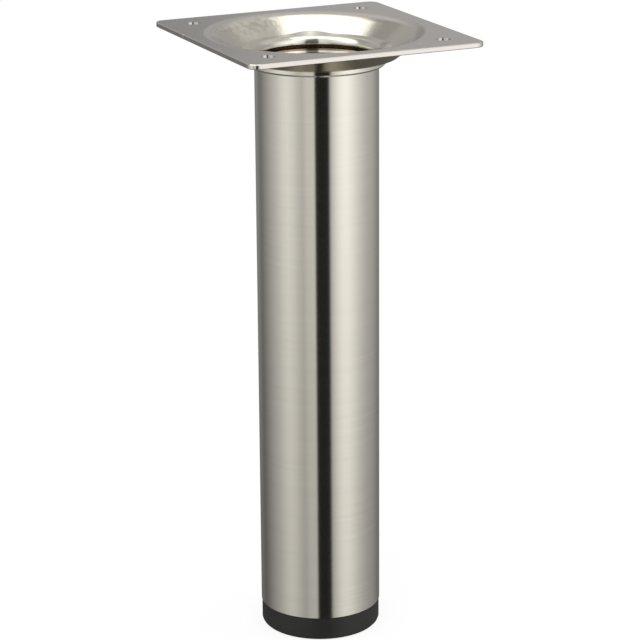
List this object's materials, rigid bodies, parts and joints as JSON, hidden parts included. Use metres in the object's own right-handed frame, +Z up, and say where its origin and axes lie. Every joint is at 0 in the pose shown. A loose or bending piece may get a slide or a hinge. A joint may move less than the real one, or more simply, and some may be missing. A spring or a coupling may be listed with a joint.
{
  "type": "table leg",
  "caption": "Round brushed metal table leg with a square dished mounting plate and a black levelling foot.",
  "frame": {"origin": "centre of the underside of the foot, on the floor, with the foot screwed right in", "axes": "+Z up along the tube to the mounting plate; X and Y along the plate's sides; one of the lip's four raised places lies on the +Y side, a little towards +X"},
  "size_m": [0.1, 0.1, 0.253],
  "materials": {
    "plate_metal": "satin nickel",
    "tube_metal": "fine brushed satin nickel",
    "black_plastic": "satin moulded",
    "zinc_steel": "bright zinc"
  },
  "bodies": {
    "leg": {"mounting_plate": "plate_metal", "leg_tube": "tube_metal", "tube_insert": "black_plastic", "insert_nut": "zinc_steel"},
    "foot": {"foot_spindle": "zinc_steel", "foot_pad": "black_plastic"}
  },
  "joints": [
    {"name": "foot_travel", "type": "slide", "parent": "leg", "child": "foot", "axis": [0, 0, -1], "range_m": [0, 0.015]}
  ]
}
